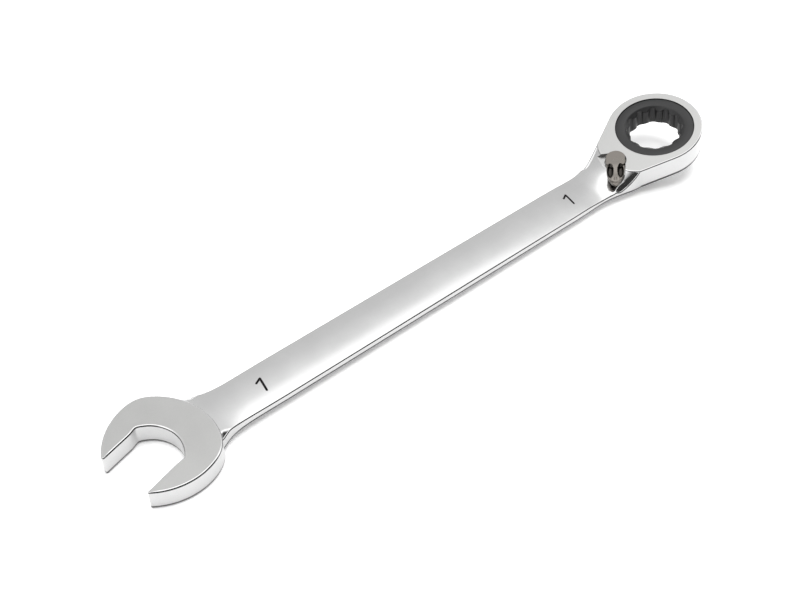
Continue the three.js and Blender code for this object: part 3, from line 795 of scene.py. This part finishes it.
# ------------------------------------------------------------------ gear ring
GEAR_TOP, GEAR_BOTTOM = -0.3, -12.8
JOURNAL_R, TEETH = 20.4, 90
TOOTH_TIP_R, TOOTH_ROOT_R, TOOTH_TOP, TOOTH_BOTTOM = 21.5, 20.7, -2.7, -10.5
SOCKET_FLAT, SOCKET_LOBE_R, SOCKET_CHAMFER_R = 12.75, 14.9, 15.6
FACE_R, GEAR_POINTS = 18.0, 1080


def gear_mesh():
    """Rings of points round the axis, from the outer wall over the top and down the twelve-lobed socket."""
    angle = 2 * np.pi * np.arange(GEAR_POINTS) / GEAR_POINTS
    one = np.ones(GEAR_POINTS)
    inner = SOCKET_FLAT / math.cos(math.radians(15))
    wave = np.cos(12 * (angle - math.radians(15)))
    lobe = np.sign(wave) * np.abs(wave) ** 0.6
    socket = (SOCKET_LOBE_R + inner) / 2 + (SOCKET_LOBE_R - inner) / 2 * lobe
    phase = np.abs(((angle * TEETH / (2 * np.pi)) + 0.5) % 1 - 0.5) * 2
    teeth = TOOTH_TIP_R - (TOOTH_TIP_R - TOOTH_ROOT_R) * np.clip((phase - 0.12) / 0.76, 0, 1)
    rings = [
        (one * JOURNAL_R, GEAR_BOTTOM + 0.3), (one * JOURNAL_R, TOOTH_BOTTOM), (teeth, TOOTH_BOTTOM),
        (teeth, TOOTH_TOP), (one * JOURNAL_R, TOOTH_TOP), (one * JOURNAL_R, GEAR_TOP - 0.32),
        (one * (JOURNAL_R - 0.09), GEAR_TOP - 0.09), (one * (JOURNAL_R - 0.35), GEAR_TOP),
        (one * FACE_R, GEAR_TOP), (np.maximum(one * (SOCKET_CHAMFER_R + 0.25), socket), GEAR_TOP),
    ]
    width = SOCKET_CHAMFER_R - SOCKET_FLAT
    chamfer = [
        (np.maximum(one * (SOCKET_CHAMFER_R - width * f), socket), 0.1 + 0.75 * width * f)
        for f in np.linspace(0, 1, 14)
    ]
    rings += [(radii, GEAR_TOP - drop) for radii, drop in chamfer]
    rings.append((socket, (GEAR_TOP + GEAR_BOTTOM) / 2))
    rings += [(radii, GEAR_BOTTOM + drop) for radii, drop in reversed(chamfer)]
    rings += [
        (np.maximum(one * (SOCKET_CHAMFER_R + 0.25), socket), GEAR_BOTTOM), (one * FACE_R, GEAR_BOTTOM),
        (one * (JOURNAL_R - 0.3), GEAR_BOTTOM),
    ]
    verts = [(r * math.cos(a), r * math.sin(a), z) for radii, z in rings for r, a in zip(radii, angle)]
    faces = tube_faces(len(rings), GEAR_POINTS, capped=False)
    last = (len(rings) - 1) * GEAR_POINTS
    for i in range(GEAR_POINTS):
        j = (i + 1) % GEAR_POINTS
        faces.append((last + i, last + j, j, i))
    return mesh_object("gear_ring_fine", verts, faces, place=HEAD, sharp=32.0, looks=[BLACK])


GEAR = gear_mesh()
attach(GEAR, "gear")
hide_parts("gear_ring")


# ------------------------------------------------------------------ size numerals
NUMERALS = [(36.6, -0.6), (231.6, -0.5)]
ENGRAVED_R, ENGRAVED_DEPTH = 0.54, 0.42
FILL_R, FILL_DEPTH, FILL_TOP = 0.52, 0.41, 0.12


def capsule(p, q, r, z0, z1):
    """A straight stroke from p to q with round ends."""
    a = math.atan2(q[1] - p[1], q[0] - p[0])
    outline = arc(q[0], q[1], r, a - math.pi / 2, a + math.pi / 2, 12)
    outline += arc(p[0], p[1], r, a + math.pi / 2, a + 3 * math.pi / 2, 12)
    return prism(outline, z0, z1)


def numeral(x, y, r, z0, z1):
    """A slanted figure one, as two round-ended strokes; the flag is a hair taller, so no faces coincide."""
    top, foot, flag = (x + 0.75, y + 3.65), (x - 0.75, y - 3.65), (x - 2.1, y + 2.2)
    hair = 0.001
    stroke = mesh_object("numeral_%d" % x, *capsule(foot, top, r, z0, z1), looks=[PAINT])
    return boolean(stroke, [mesh_object("flag", *capsule(flag, top, r, z0 - hair, z1 + hair))], "UNION")


for x, y in NUMERALS:
    crown = soft(x, CROWN_Z)
    boolean(BODY, [numeral(x, y, ENGRAVED_R, crown - ENGRAVED_DEPTH, crown + 1.0)])
    fill = numeral(x, y, FILL_R, crown - FILL_DEPTH, crown - FILL_TOP)
    shade(fill, 30)
    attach(fill, "wrench")
shade(BODY, 30)
weight_normals(BODY)


# ------------------------------------------------------------------ inner pieces, which keep their CAD meshes
LOOKS = {
    "pawl": BLACK, "gear_retaining_ring": STEEL, "lever_retaining_ring": STEEL,
    "detent_plunger": STEEL, "detent_spring": STEEL,
}
for node, mat in LOOKS.items():
    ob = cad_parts[node]
    ob.data.materials.clear()
    ob.data.materials.append(mat)
